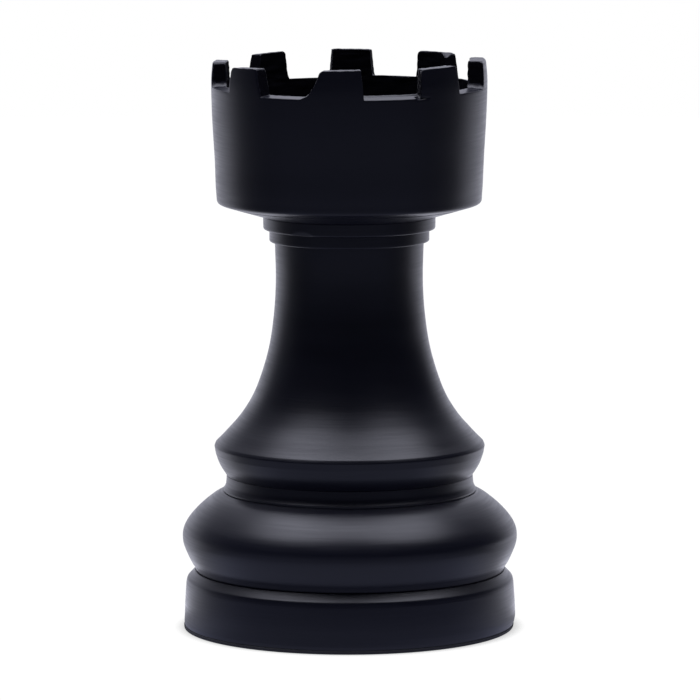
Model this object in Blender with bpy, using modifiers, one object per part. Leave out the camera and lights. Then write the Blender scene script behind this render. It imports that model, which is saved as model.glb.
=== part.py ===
"""Giant garden-chess rook: hollow moulded sections stacked on one tie rod.

Units are metres and +Z is up. The origin is the centre of the base, on the ground.
Azimuths are in degrees from -Y towards +X, so the front merlon stands at azimuth 0.
"""
import math

import bmesh
import bpy
from mathutils import Matrix

# ---- the driving sizes ---------------------------------------------------------
HEIGHT = 0.4200       # of the tallest merlon
GAP = 0.0003          # left between pieces that touch
WALL = 0.006          # a moulded wall
STEPS = 40            # segments round a large turned section
SMALL_STEPS = 24      # segments round a small one
CURVE_STEPS = 2       # points added per span of a smooth outline

# heights of the seams between the stacked sections
PAD_TOP = 0.0026
DRUM_FOOT = PAD_TOP + GAP
SHOULDER = 0.0431     # base_drum to base_bulge
WAIST_LOW = 0.1016    # base_bulge to waist_ring
WAIST_HIGH = 0.1137   # waist_ring to stem_bell
NECK_TOP = 0.2858     # stem_bell to lower_collar
COLLAR_SEAM = 0.2949  # lower_collar to upper_collar
CROWN_LOW = 0.3049    # upper_collar to crown

# outside radii
FOOT_RADIUS = 0.1222
BULGE_RADIUS = 0.1231
WAIST_RADIUS = 0.0905
BELL_RADIUS = 0.0994
NECK_RADIUS = 0.0539
LOWER_COLLAR_RADIUS = 0.0586
UPPER_COLLAR_RADIUS = 0.0632
CROWN_EDGE_RADIUS = 0.0971
CROWN_RADIUS = 0.1010

# spigots that centre one section in the next
CHAMBER_OUTSIDE = 0.0900
WAIST_SPIGOT = 0.0780
COLLAR_SPIGOT = 0.0460

# the sand chamber inside the drum, and the plate that closes it
CHAMBER_RADIUS = CHAMBER_OUTSIDE - WALL
CHAMBER_ROOF = 0.0690
PLATE_LOW = 0.0130
PLATE_THICK = 0.0050
PLATE_RADIUS = 0.1000
PLATE_HIGH = PLATE_LOW + PLATE_THICK
GASKET_THICK = 0.0020
FLANGE_LOW = PLATE_HIGH + GASKET_THICK + 2 * GAP
FLANGE_HIGH = FLANGE_LOW + 0.0064
FLANGE_RADIUS = 0.1050
PAD_INSIDE = 0.1150
SAND_HIGH = 0.0500

# plate screws, M4 x 12 countersunk
SCREW_COUNT = 6
SCREW_CIRCLE = 0.0930
SCREW_RADIUS = 0.0020
SCREW_HEAD_RADIUS = 0.0040
SCREW_HEAD_HEIGHT = 0.0020
SCREW_LENGTH = 0.0120

# filler plug, on the axis
PLUG_HEAD_RADIUS = 0.0280
PLUG_HEAD_THICK = 0.0047
PLUG_RADIUS = 0.0217
PLUG_POCKET = 0.0180
PLUG_TOP = 0.0320
PLUG_WALL = 0.0050
PLUG_BAR = 0.0080
NECK_BORE = PLUG_RADIUS + GAP
NECK_OUTSIDE = 0.0330
NECK_HIGH = 0.0360
SEAT_HIGH = 0.0209
SEAL_CENTRE_RADIUS = 0.0248
SEAL_THICK = 0.0022

# tie rod and its fixings, M10
ROD_RADIUS = 0.0050
ROD_HOLE = 0.0056
ROD_LOW = 0.0520
ROD_HIGH = 0.3250
WASHER_RADIUS = 0.0150
WASHER_HOLE = 0.0053
WASHER_THICK = 0.0022
NUT_ACROSS_FLATS = 0.0170
NUT_HEIGHT = 0.0080

# crown cup and battlements
CUP_RADIUS = 0.0900
LEDGE_RADIUS = 0.0860
LEDGE_HIGH = 0.3517
FLOOR_THICK = 0.0060
CRENEL_FALL = 0.0026   # the crenels' floors are this much lower at the outer face
# The merlons were cut by hand, so no two are the same. For each: the azimuths of its
# two sides at the top, the same at the root, its height above the ground, and the
# height of the floor of the crenel after it, at the cup's wall.
MERLONS = (
    ((-8.3, 8.7), (-16.5, 9.8), 0.4190, 0.4008),
    ((35.0, 54.5), (34.4, 56.2), 0.4196, 0.4006),
    ((81.0, 99.5), (79.0, 101.5), HEIGHT, 0.4016),
    ((132.0, 149.6), (131.0, 150.2), 0.4196, 0.4001),
    ((174.0, 190.1), (173.0, 191.8), 0.4196, 0.3984),
    ((216.0, 231.2), (213.2, 232.6), 0.4187, 0.4002),
    ((261.5, 279.0), (259.0, 280.5), 0.4178, 0.4008),
    ((306.4, 324.2), (304.9, 324.6), 0.4181, 0.4008),
)

ROOK = "giant_chess_rook"
CUTTERS = "cutters"


# ---- helpers -------------------------------------------------------------------
def clear_scene():
    for item in list(bpy.data.objects):
        bpy.data.objects.remove(item)


def new_collection(name):
    collection = bpy.data.collections.new(name)
    bpy.context.scene.collection.children.link(collection)
    return collection


def new_material(name, colour, roughness, metallic=0.0):
    material = bpy.data.materials.new(name)
    material.use_nodes = True
    shader = material.node_tree.nodes["Principled BSDF"]
    shader.inputs["Base Color"].default_value = (*colour, 1.0)
    shader.inputs["Roughness"].default_value = roughness
    shader.inputs["Metallic"].default_value = metallic
    material.diffuse_color = (*colour, 1.0)
    return material


def smooth_outline(points, per_span=CURVE_STEPS):
    """A smooth line through (radius, height) points, with both ends kept."""
    padded = [points[0], *points, points[-1]]
    outline = []
    for a, b, c, d in zip(padded, padded[1:], padded[2:], padded[3:]):
        for step in range(per_span):
            t = step / per_span
            outline.append(tuple(catmull_rom(p, q, r, s, t) for p, q, r, s in zip(a, b, c, d)))
    outline.append(points[-1])
    return outline


def catmull_rom(a, b, c, d, t):
    linear = c - a
    square = 2 * a - 5 * b + 4 * c - d
    cube = 3 * b - a - 3 * c + d
    return 0.5 * (2 * b + linear * t + square * t ** 2 + cube * t ** 3)


def fillet(centre, radius, start, end, steps=3):
    """Points on an arc about centre, from start to end degrees, 0 outward and 90 up."""
    points = []
    for step in range(steps + 1):
        angle = math.radians(start + (end - start) * step / steps)
        points.append((centre[0] + radius * math.cos(angle), centre[1] + radius * math.sin(angle)))
    return points


def place(item, collection):
    for owner in list(item.users_collection):
        owner.objects.unlink(item)
    collection.objects.link(item)


def finish(item, material):
    item.data.materials.clear()
    item.data.materials.append(material)
    place(item, bpy.data.collections[ROOK])
    return item


def profile_object(name, outline, closed):
    mesh = bpy.data.meshes.new(name)
    edges = [(i, i + 1) for i in range(len(outline) - 1)]
    if closed:
        edges.append((len(outline) - 1, 0))
    mesh.from_pydata([(radius, 0.0, height) for radius, height in outline], edges, [])
    item = bpy.data.objects.new(name, mesh)
    bpy.context.scene.collection.objects.link(item)
    return item


def turned(name, outline, material, steps=STEPS):
    """A solid of revolution. The outline runs down the outer side; a ring's outline closes."""
    ring = min(radius for radius, _ in outline) > 0
    item = profile_object(name, outline, closed=ring)
    screw = item.modifiers.new("turn", "SCREW")
    screw.angle = 2 * math.pi
    screw.steps = steps
    screw.render_steps = steps
    screw.use_merge_vertices = True
    screw.merge_threshold = 0.00001
    screw.use_smooth_shade = True
    return finish(item, material)


def rectangle(inner, outer, low, high):
    return [(inner, high), (outer, high), (outer, low), (inner, low)]


def cut(item, cutter):
    boolean = item.modifiers.new("cut " + cutter.name, "BOOLEAN")
    boolean.operation = "DIFFERENCE"
    boolean.solver = "EXACT"
    boolean.object = cutter


def as_cutter(item):
    item.hide_render = True
    item.display_type = "WIRE"
    place(item, bpy.data.collections[CUTTERS])
    return item


def bmesh_object(name, build):
    mesh = bpy.data.meshes.new(name)
    shape = bmesh.new()
    build(shape)
    shape.to_mesh(mesh)
    shape.free()
    item = bpy.data.objects.new(name, mesh)
    bpy.context.scene.collection.objects.link(item)
    return item


def cylinder(name, radius, low, high, segments):
    def build(shape):
        bmesh.ops.create_cone(
            shape, cap_ends=True, segments=segments, radius1=radius, radius2=radius,
            depth=high - low, matrix=Matrix.Translation((0, 0, (low + high) / 2)))
    return bmesh_object(name, build)


# ---- base ----------------------------------------------------------------------
def make_base_pad(material):
    proud = 0.0002
    outline = rectangle(PAD_INSIDE, FOOT_RADIUS + proud, 0.0, PAD_TOP)
    turned("base_pad", outline, material)


def make_base_drum(material):
    """Foot wall and shoulder, a ring open below that sits round the sand chamber."""
    bore = CHAMBER_OUTSIDE + GAP
    inside = FOOT_RADIUS - WALL
    chamfer = [(0.1139, SHOULDER), (0.1188, 0.0383)]
    edge = [(0.1197, 0.0372), (0.1202, 0.0357), (0.1205, 0.0340), (0.1207, 0.0320)]
    outline = [(bore, SHOULDER)] + chamfer + edge
    outline += [(0.1215, 0.0200), (FOOT_RADIUS, 0.0045), (FOOT_RADIUS - 0.0003, DRUM_FOOT)]
    outline += [(inside, DRUM_FOOT), (inside - 0.0022, SHOULDER - WALL), (bore, SHOULDER - WALL)]
    turned("base_drum", outline, material)


def make_sand_chamber(material):
    """A cup upside down, with the flange round its mouth that the plate is screwed to."""
    roof = CHAMBER_ROOF + WALL
    edge = 0.0040
    outline = [(ROD_HOLE, roof)]
    outline += fillet((CHAMBER_OUTSIDE - edge, roof - edge), edge, 90, 0)
    outline += [(CHAMBER_OUTSIDE, FLANGE_HIGH), (FLANGE_RADIUS, FLANGE_HIGH)]
    outline += [(FLANGE_RADIUS, FLANGE_LOW), (CHAMBER_RADIUS, FLANGE_LOW)]
    outline += [(CHAMBER_RADIUS, CHAMBER_ROOF), (ROD_HOLE, CHAMBER_ROOF)]
    return turned("sand_chamber", outline, material)


def make_bottom_plate(material):
    """Round plate with a raised filler neck, and a counterbore for the plug's head."""
    counterbore = PLUG_HEAD_RADIUS + 0.0004
    outline = [(NECK_BORE, NECK_HIGH), (NECK_OUTSIDE, NECK_HIGH), (NECK_OUTSIDE, PLATE_HIGH)]
    outline += [(PLATE_RADIUS, PLATE_HIGH), (PLATE_RADIUS, PLATE_LOW)]
    outline += [(counterbore, PLATE_LOW), (counterbore, SEAT_HIGH), (NECK_BORE, SEAT_HIGH)]
    return turned("bottom_plate", outline, material)


def make_plate_gasket(material):
    low = PLATE_HIGH + GAP
    outline = rectangle(CHAMBER_RADIUS + 0.002, PLATE_RADIUS - GAP, low, low + GASKET_THICK)
    return turned("plate_gasket", outline, material)


def screw_outline(clearance=0.0):
    """Countersunk screw, head down; the clearance makes it the hole for that screw."""
    low = PLATE_LOW + GAP
    head = SCREW_HEAD_RADIUS + clearance
    shank = SCREW_RADIUS + clearance
    if clearance:
        return [(0, low + SCREW_LENGTH + clearance), (shank, low + SCREW_LENGTH + clearance),
                (shank, low + SCREW_HEAD_HEIGHT), (head, low), (head, PLATE_LOW - 0.001),
                (0, PLATE_LOW - 0.001)]
    socket = 0.0012
    return [(0, low + SCREW_LENGTH), (shank - 0.0003, low + SCREW_LENGTH),
            (shank, low + SCREW_LENGTH - 0.0004), (shank, low + SCREW_HEAD_HEIGHT),
            (head, low + 0.0002), (head, low), (socket, low), (socket, low + 0.0012),
            (0, low + 0.0012)]


def make_plate_screws(material, fastened):
    """Six screws, and the holes for them in every piece that they pass through."""
    off_the_seams = math.pi / STEPS
    for index in range(SCREW_COUNT):
        angle = 2 * math.pi * (index + 0.5) / SCREW_COUNT + off_the_seams
        spot = (SCREW_CIRCLE * math.cos(angle), SCREW_CIRCLE * math.sin(angle), 0.0)
        screw = turned(f"plate_screw_{index + 1}", screw_outline(), material, steps=12)
        screw.location = spot
        hole = as_cutter(turned(f"screw_hole_{index + 1}", screw_outline(GAP), material, steps=12))
        hole.location = spot
        for piece in fastened:
            cut(piece, hole)


def make_filler_plug(material):
    """A hollow threaded plug with a flange head, turned by the bar across its mouth."""
    low = PLATE_LOW + GAP
    head_top = low + PLUG_HEAD_THICK
    edge = 0.0006
    pocket_top = PLUG_TOP - PLUG_WALL
    outline = [(0, PLUG_TOP), (PLUG_RADIUS - 0.0015, PLUG_TOP), (PLUG_RADIUS, PLUG_TOP - 0.0015)]
    outline += [(PLUG_RADIUS, head_top), (PLUG_HEAD_RADIUS, head_top)]
    outline += [(PLUG_HEAD_RADIUS, low + edge), (PLUG_HEAD_RADIUS - edge, low)]
    outline += [(PLUG_POCKET, low), (PLUG_POCKET, pocket_top), (0, pocket_top)]
    plug = turned("filler_plug", outline, material, steps=32)
    overlap = 0.0015

    def bar_shape(shape):
        bmesh.ops.create_cube(shape, size=1.0)
        length = 2 * (PLUG_POCKET + overlap)
        depth = pocket_top + overlap - low
        bmesh.ops.scale(shape, vec=(length, PLUG_BAR, depth), verts=shape.verts)
        bmesh.ops.translate(shape, vec=(0, 0, low + depth / 2), verts=shape.verts)

    bar = as_cutter(bmesh_object("plug_bar", bar_shape))
    union = plug.modifiers.new("bar", "BOOLEAN")
    union.operation = "UNION"
    union.solver = "EXACT"
    union.object = bar


def make_plug_seal(material):
    middle = (PLATE_LOW + GAP + PLUG_HEAD_THICK + SEAT_HIGH) / 2
    bpy.ops.mesh.primitive_torus_add(
        major_radius=SEAL_CENTRE_RADIUS, minor_radius=SEAL_THICK / 2,
        major_segments=32, minor_segments=8, location=(0, 0, middle))
    seal = bpy.context.object
    seal.name = "plug_seal"
    seal.data.shade_smooth()
    finish(seal, material)


def make_sand_ballast(material):
    gap = 0.0005
    outline = rectangle(NECK_OUTSIDE + gap, CHAMBER_RADIUS - gap, PLATE_HIGH + gap, SAND_HIGH)
    turned("sand_ballast", outline, material)


def make_base_bulge(material):
    """The big torus above the drum, with a spigot at its top."""
    skin = smooth_outline([
        (0.0936, WAIST_LOW), (0.0954, 0.1010), (0.0994, 0.0982), (0.1050, 0.0938),
        (0.1102, 0.0899), (0.1183, 0.0815), (0.1221, 0.0745), (BULGE_RADIUS, 0.0685),
        (0.1222, 0.0620), (0.1180, 0.0520), (0.1151, 0.0478), (0.1139, 0.0455)])
    outline = [(WAIST_SPIGOT - WALL, WAIST_LOW + WALL), (WAIST_SPIGOT, WAIST_LOW + WALL)]
    outline += [(WAIST_SPIGOT, WAIST_LOW)] + skin
    outline += [(0.1136, SHOULDER + GAP), (CHAMBER_OUTSIDE + GAP, SHOULDER + GAP)]
    outline += [(CHAMBER_OUTSIDE + GAP, SHOULDER + WALL), (0.1072, SHOULDER + WALL)]
    outline += [(0.1165, 0.0630), (0.1172, 0.0690), (0.1160, 0.0740), (0.1118, 0.0805)]
    outline += [(0.1030, 0.0885), (0.0900, WAIST_LOW - WALL), (WAIST_SPIGOT - WALL, WAIST_LOW - WALL)]
    turned("base_bulge", outline, material)


# ---- waist and stem ------------------------------------------------------------
def make_waist_ring(material):
    low = WAIST_LOW + GAP
    bore = WAIST_SPIGOT + GAP
    lip = WAIST_RADIUS + 0.0023
    flare = [(0.0907, 0.1110), (0.0909, 0.1085), (0.0912, 0.1066), (0.0918, 0.1050), (0.0924, 0.1039)]
    outline = [(bore, WAIST_HIGH), (WAIST_RADIUS, WAIST_HIGH)] + flare
    outline += [(lip, 0.1033), (lip, low + 0.0003), (lip - 0.0003, low), (bore, low)]
    turned("waist_ring", outline, material)


def make_stem_bell(material):
    """Neck and bell in one shell, with a spigot at each end."""
    low = WAIST_HIGH + GAP
    neck = smooth_outline([
        (0.0546, NECK_TOP), (NECK_RADIUS, 0.2580), (0.0556, 0.2312), (0.0599, 0.2043),
        (0.0687, 0.1772), (0.0791, 0.1590), (0.0911, 0.1450), (0.0985, 0.1374)])
    bevel = smooth_outline([(0.0985, 0.1300), (0.0963, 0.1236), (0.0936, 0.1186), (WAIST_RADIUS, low)], 2)
    spigot_in = WAIST_SPIGOT - WALL
    outline = [(COLLAR_SPIGOT - WALL, NECK_TOP + WALL), (COLLAR_SPIGOT, NECK_TOP + WALL)]
    outline += [(COLLAR_SPIGOT, NECK_TOP)] + neck
    outline += fillet((BELL_RADIUS - 0.0015, 0.1350), 0.0015, 35, -10, 2) + bevel
    outline += [(WAIST_SPIGOT, low), (WAIST_SPIGOT, low - WALL - GAP), (spigot_in, low - WALL - GAP)]
    outline += [(spigot_in, low + WALL), (0.0860, low + WALL), (0.0925, 0.1300), (0.0925, 0.1345)]
    outline += [(0.0842, 0.1440), (0.0728, 0.1580), (0.0628, 0.1760), (0.0540, 0.2040)]
    outline += [(0.0497, 0.2310), (0.0479, 0.2580), (0.0479, NECK_TOP - WALL)]
    outline += [(COLLAR_SPIGOT - WALL, NECK_TOP - WALL)]
    turned("stem_bell", outline, material)


def make_collar(name, radius, low, high, material):
    edge = 0.0014
    top_edge = 0.0004
    bore = COLLAR_SPIGOT + GAP
    outline = [(bore, high)]
    outline += fillet((radius - top_edge, high - top_edge), top_edge, 90, 0, 1)
    outline += fillet((radius - edge, low + edge), edge, 0, -90, 2)
    outline += [(bore, low)]
    turned(name, outline, material)


# ---- crown ---------------------------------------------------------------------
def make_crown(material):
    """The cup's wall, with the battlements cut out of its rim."""
    wall = smooth_outline([
        (0.0996, HEIGHT - 0.0006), (0.1005, 0.4120), (CROWN_RADIUS, 0.4010), (0.1002, 0.3760),
        (0.0985, 0.3480), (0.0977, 0.3280), (CROWN_EDGE_RADIUS, 0.3190)], 2)
    outline = [(CUP_RADIUS + 0.0005, HEIGHT), (0.0990, HEIGHT)] + wall
    outline += fillet((0.0935, 0.3174), 0.0036, 0, -73, 3)
    outline += [(LEDGE_RADIUS, 0.3114), (LEDGE_RADIUS, LEDGE_HIGH), (CUP_RADIUS, LEDGE_HIGH)]
    crown = turned("crown", outline, material)
    for index, merlon in enumerate(MERLONS):
        cut(crown, crenel_cutter(index))
        if merlon[2] < HEIGHT:
            cut(crown, top_cutter(index))


def make_crown_dish(material):
    """The cone under the crown: it fits inside the foot of the wall and on the collars."""
    rim = LEDGE_RADIUS - GAP
    spigot_in = COLLAR_SPIGOT - WALL
    spigot_low = NECK_TOP + WALL + GAP
    web_high = CROWN_LOW + WALL
    outline = [(ROD_HOLE, web_high), (0.0600, web_high), (0.0800, web_high + 0.0060)]
    outline += [(rim - 0.0020, web_high + 0.0095), (rim, web_high + 0.0095), (rim, 0.3112)]
    outline += [(0.0640, CROWN_LOW), (COLLAR_SPIGOT, CROWN_LOW), (COLLAR_SPIGOT, spigot_low)]
    outline += [(spigot_in, spigot_low), (spigot_in, CROWN_LOW), (ROD_HOLE, CROWN_LOW)]
    turned("crown_dish", outline, material)


def wedge_cutter(name, low_sides, high_sides, low_heights, high):
    """A radial wedge: azimuths of its sides below and above, and its floor's two heights.

    The floor's heights are those at the crown's inner and outer face.
    """
    inner = CUP_RADIUS - 0.010
    outer = CROWN_RADIUS + 0.012
    fall = (low_heights[1] - low_heights[0]) / (CROWN_RADIUS - CUP_RADIUS)

    def wedge(shape):
        bmesh.ops.create_cube(shape, size=2.0)
        for corner in shape.verts:
            x, y, z = corner.co
            sides = high_sides if z > 0 else low_sides
            angle = math.radians(sides[1] if x > 0 else sides[0])
            reach = outer if y < 0 else inner
            corner.co.x = reach * math.sin(angle)
            corner.co.y = -reach * math.cos(angle)
            corner.co.z = high if z > 0 else low_heights[0] + fall * (reach - CUP_RADIUS)

    return as_cutter(bmesh_object(name, wedge))


def crenel_cutter(index):
    """The wedge cut out between one merlon and the next."""
    top, root, _, floor = MERLONS[index]
    next_top, next_root, _, _ = MERLONS[(index + 1) % len(MERLONS)]
    turn = 360 if index + 1 == len(MERLONS) else 0
    sides_root = (root[1], next_root[0] + turn)
    sides_top = (top[1], next_top[0] + turn)
    above = 0.005
    stretch = (HEIGHT + above - floor) / (HEIGHT - floor)
    sides_above = [low + (high - low) * stretch for low, high in zip(sides_root, sides_top)]
    floors = (floor, floor - CRENEL_FALL)
    return wedge_cutter(f"crenel_{index}", sides_root, sides_above, floors, HEIGHT + above)


def top_cutter(index):
    """The slice that takes one merlon down to its own height."""
    top, _, height, _ = MERLONS[index]
    sides = (top[0] - 6, top[1] + 6)
    return wedge_cutter(f"top_{index}", sides, sides, (height, height), HEIGHT + 0.008)


def make_crown_floor(material):
    low = LEDGE_HIGH + GAP
    radius = CUP_RADIUS - 0.0004
    edge = 0.0010
    outline = [(0, low + FLOOR_THICK), (radius - edge, low + FLOOR_THICK)]
    outline += [(radius, low + FLOOR_THICK - edge), (radius, low), (0, low)]
    turned("crown_floor", outline, material)


# ---- tie rod -------------------------------------------------------------------
def make_tie_rod(material):
    rod = cylinder("tie_rod", ROD_RADIUS, ROD_LOW, ROD_HIGH, SMALL_STEPS)
    finish(rod, material)


def make_washer(name, low, material):
    outline = rectangle(WASHER_HOLE, WASHER_RADIUS, low, low + WASHER_THICK)
    turned(name, outline, material, steps=SMALL_STEPS)


def make_nut(name, low, material):
    corner = NUT_ACROSS_FLATS / 2 / math.cos(math.pi / 6)
    nut = cylinder(name, corner, low, low + NUT_HEIGHT, 6)
    bore = cylinder(name + "_bore", WASHER_HOLE, low - 0.001, low + NUT_HEIGHT + 0.001, SMALL_STEPS)
    cut(nut, as_cutter(bore))
    finish(nut, material)


def make_rod_fixings(material):
    washer_low = CHAMBER_ROOF - GAP - WASHER_THICK
    make_washer("lower_washer", washer_low, material)
    make_nut("lower_nut", washer_low - GAP - NUT_HEIGHT, material)
    washer_low = CROWN_LOW + WALL + GAP
    make_washer("upper_washer", washer_low, material)
    make_nut("upper_nut", washer_low + WASHER_THICK + GAP, material)


def main():
    clear_scene()
    new_collection(ROOK)
    new_collection(CUTTERS)
    black = new_material("matt_black_paint", (0.011, 0.011, 0.014), 0.42)
    cup_black = new_material("cup_black", (0.008, 0.008, 0.009), 0.80)
    rubber = new_material("pad_rubber", (0.022, 0.022, 0.022), 0.85)
    seal_rubber = new_material("seal_rubber", (0.015, 0.015, 0.015), 0.60)
    plate_plastic = new_material("plate_plastic", (0.020, 0.020, 0.021), 0.55)
    plug_plastic = new_material("plug_plastic", (0.028, 0.028, 0.030), 0.50)
    zinc = new_material("zinc_steel", (0.55, 0.56, 0.58), 0.35, 1.0)
    sand = new_material("dry_sand", (0.42, 0.32, 0.20), 0.95)

    make_base_pad(rubber)
    make_base_drum(black)
    chamber = make_sand_chamber(plate_plastic)
    plate = make_bottom_plate(plate_plastic)
    gasket = make_plate_gasket(seal_rubber)
    make_plate_screws(zinc, (chamber, plate, gasket))
    make_filler_plug(plug_plastic)
    make_plug_seal(seal_rubber)
    make_sand_ballast(sand)
    make_base_bulge(black)
    make_waist_ring(black)
    make_stem_bell(black)
    make_collar("lower_collar", LOWER_COLLAR_RADIUS, NECK_TOP + GAP, COLLAR_SEAM, black)
    make_collar("upper_collar", UPPER_COLLAR_RADIUS, COLLAR_SEAM + GAP, CROWN_LOW - GAP, black)
    make_crown_dish(black)
    make_crown(black)
    make_crown_floor(cup_black)
    make_tie_rod(zinc)
    make_rod_fixings(zinc)


main()
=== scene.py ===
"""Looks of the giant garden-chess rook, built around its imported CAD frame.

Everything is in metres in the frame's axes: +Z up, front merlon at -Y. Azimuths are in
degrees from -Y towards +X. Each turned section is a fine turned shell in place of its CAD
node; the crown's wall is a subdivided cage with hand-cut merlons.
"""
import math
from collections import namedtuple

import bmesh
import bpy
import numpy as np
from mathutils import Matrix, Vector


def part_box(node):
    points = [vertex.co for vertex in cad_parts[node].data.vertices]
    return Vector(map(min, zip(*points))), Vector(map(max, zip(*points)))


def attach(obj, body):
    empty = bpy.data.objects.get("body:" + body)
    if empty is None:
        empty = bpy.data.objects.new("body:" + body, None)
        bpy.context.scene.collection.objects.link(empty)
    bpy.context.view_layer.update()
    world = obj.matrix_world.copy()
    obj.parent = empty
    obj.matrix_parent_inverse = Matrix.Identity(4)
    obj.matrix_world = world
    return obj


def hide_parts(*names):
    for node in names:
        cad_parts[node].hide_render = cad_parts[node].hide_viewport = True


ROOK = "rook_body"     # the body that every new piece rides on

# a long lens, looking a little down
CAMERA_DISTANCE = 4.6445
CAMERA_HEIGHT = 0.81525
CAMERA_AZIMUTH = 3.8
CAMERA_PITCH = 7.482
CAMERA_ROLL = -0.113
CAMERA_LENS = 328.1
CAMERA_SHIFT = 0.00074
SENSOR_WIDTH = 36.0
CLIP_NEAR = 0.1
CLIP_FAR = 50.0

TURN_STEPS = 192       # segments round a turned piece
COLLAR_STEPS = 512     # segments round a collar, which has small dents
CORNER_STEPS = 4       # segments in a rounded corner
CURVE_STEPS = 8        # points per span of a smooth outline
LONGEST_RUN = 0.004    # of an outline between two points
END_INSET = 0.0004     # how close to the end of a long run its nearest point lies
SHARP_ANGLE = 50
GAP = 0.0003           # between sections
WALL = 0.006
SEAT_OVERLAP = 0.0002  # how far a section sits into the gap under it

# radii that the frame's boxes don't give
PAD_BORE = 0.1150
COLLAR_SPIGOT = 0.046
WAIST_SPIGOT = 0.078
WAIST_RADIUS = 0.0905
CHAMBER_OUTSIDE = 0.0900
ROD_BORE = 0.0056
CUP_RADIUS = 0.0900
LEDGE_RADIUS = 0.0860
CROWN_RADIUS = 0.1010

# The hand-cut merlons. For each: its left and right side as (share of its height, azimuth)
# from the root up, its heights at the two sides, the radii of its two top corners, the
# radius along its outer and inner top edges, and the next crenel's floor at cup and outside.
Merlon = namedtuple("Merlon", "left right heights corners crests floors")
MERLONS = tuple(Merlon(*row) for row in (
    (((0, -16.7), (0.06, -14.9), (0.16, -12.8), (0.53, -10.4), (0.8, -8.8), (1, -8.5)),
     ((0, 9.8), (1, 8.7)),
     (0.4190, 0.4196), (0.0024, 0.0006), (0.0, 0.0), (0.4008, 0.3982)),
    (((0, 34.4), (1, 35.0)), ((0, 56.2), (1, 54.5)),
     (0.4189, 0.4197), (0.0022, 0.0014), (0.0, 0.0), (0.4006, 0.3994)),
    (((0, 77.3), (0.07, 78.6), (0.15, 79.2), (1, 80.2)), ((0, 101.5), (1, 99.5)),
     (0.4198, 0.4200), (0.0010, 0.0020), (0.0024, 0.0012), (0.4016, 0.3995)),
    (((0, 130.4), (0.2, 131.0), (1, 132.0)), ((0, 150.4), (0.2, 150.0), (1, 149.6)),
     (0.4196, 0.4194), (0.0033, 0.0033), (0.0010, 0.0010), (0.4001, 0.3980)),
    (((0, 172.6), (0.2, 173.2), (1, 174.0)), ((0, 193.0), (0.2, 192.2), (1, 191.4)),
     (0.4194, 0.4197), (0.0012, 0.0012), (0.0010, 0.0010), (0.3984, 0.3962)),
    (((0, 213.4), (0.2, 214.2), (1, 215.4)), ((0, 232.6), (0.2, 231.6), (1, 230.1)),
     (0.4190, 0.4182), (0.0025, 0.0018), (0.0006, 0.0006), (0.4002, 0.3980)),
    (((0, 259.0), (1, 261.5)), ((0, 282.3), (0.07, 281.0), (0.15, 280.3), (1, 279.0)),
     (0.4175, 0.4180), (0.0020, 0.0020), (0.0014, 0.0012), (0.4005, 0.4000)),
    (((0, 303.8), (1, 305.0)), ((0, 324.6), (1, 321.8)),
     (0.4179, 0.4186), (0.0038, 0.0012), (0.0, 0.0), (0.3997, 0.3986)),
))
SKEW = {1: 2.0}        # degrees by which a merlon's left side is further round at the cup
# radii of some merlons' upright edges, at the outer face and at the cup
POSTS = {1: (0.0009, 0.0), 2: (0.0006, 0.0015), 6: (0.0018, 0.0012), 7: (0.0014, 0.0)}
TOP_FALL = {3: 0.0011, 4: 0.0011, 5: 0.0011}    # tops that fall away outward
THICKER = {2: (0.0011, 0.0021)}     # how far a merlon stands into the cup, at root and top

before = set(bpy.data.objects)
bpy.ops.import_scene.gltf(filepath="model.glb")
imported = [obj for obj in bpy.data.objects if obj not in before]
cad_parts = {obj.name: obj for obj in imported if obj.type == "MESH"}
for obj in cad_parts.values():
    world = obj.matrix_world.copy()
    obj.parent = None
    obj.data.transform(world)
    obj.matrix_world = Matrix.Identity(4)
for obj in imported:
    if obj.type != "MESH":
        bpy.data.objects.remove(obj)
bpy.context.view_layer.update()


def low(node):
    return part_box(node)[0].z


def high(node):
    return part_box(node)[1].z


def reach(node):
    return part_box(node)[1].x


# ---- outlines ------------------------------------------------------------------
def smooth_outline(points, per_span=CURVE_STEPS):
    """A smooth line through (radius, height) points, with both ends kept."""
    padded = [points[0], *points, points[-1]]
    outline = []
    for a, b, c, d in zip(padded, padded[1:], padded[2:], padded[3:]):
        for step in range(per_span):
            t = step / per_span
            outline.append(tuple(catmull_rom(p, q, r, s, t) for p, q, r, s in zip(a, b, c, d)))
    outline.append(points[-1])
    return outline


def catmull_rom(a, b, c, d, t):
    linear = c - a
    square = 2 * a - 5 * b + 4 * c - d
    cube = 3 * b - a - 3 * c + d
    return 0.5 * (2 * b + linear * t + square * t ** 2 + cube * t ** 3)


def fillet(centre, radius, start, end, steps):
    """Points on an arc about centre, from start to end degrees, 0 outward and 90 up."""
    points = []
    for step in range(steps + 1):
        angle = math.radians(start + (end - start) * step / steps)
        points.append((centre[0] + radius * math.cos(angle), centre[1] + radius * math.sin(angle)))
    return points


def round_corners(points):
    """The closed outline, with each corner that has a third number rounded to that radius."""
    outline = []
    for index, point in enumerate(points):
        here = np.array(point[:2])
        if len(point) == 2:
            outline.append(tuple(here))
            continue
        before = np.array(points[index - 1][:2]) - here
        after = np.array(points[(index + 1) % len(points)][:2]) - here
        outline += corner_arc(here, before, after, point[2])
    return outline


def corner_arc(corner, before, after, radius):
    """Points round a corner between the directions before and after."""
    room = 0.48 * min(np.linalg.norm(before), np.linalg.norm(after))
    before = before / np.linalg.norm(before)
    after = after / np.linalg.norm(after)
    half = math.acos(float(np.clip(before @ after, -1, 1))) / 2
    back_off = min(radius / math.tan(half), room)
    start = corner + before * back_off
    end = corner + after * back_off
    points = []
    for step in range(CORNER_STEPS + 1):
        t = step / CORNER_STEPS
        points.append(tuple((1 - t) ** 2 * start + 2 * t * (1 - t) * corner + t ** 2 * end))
    return points


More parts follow.
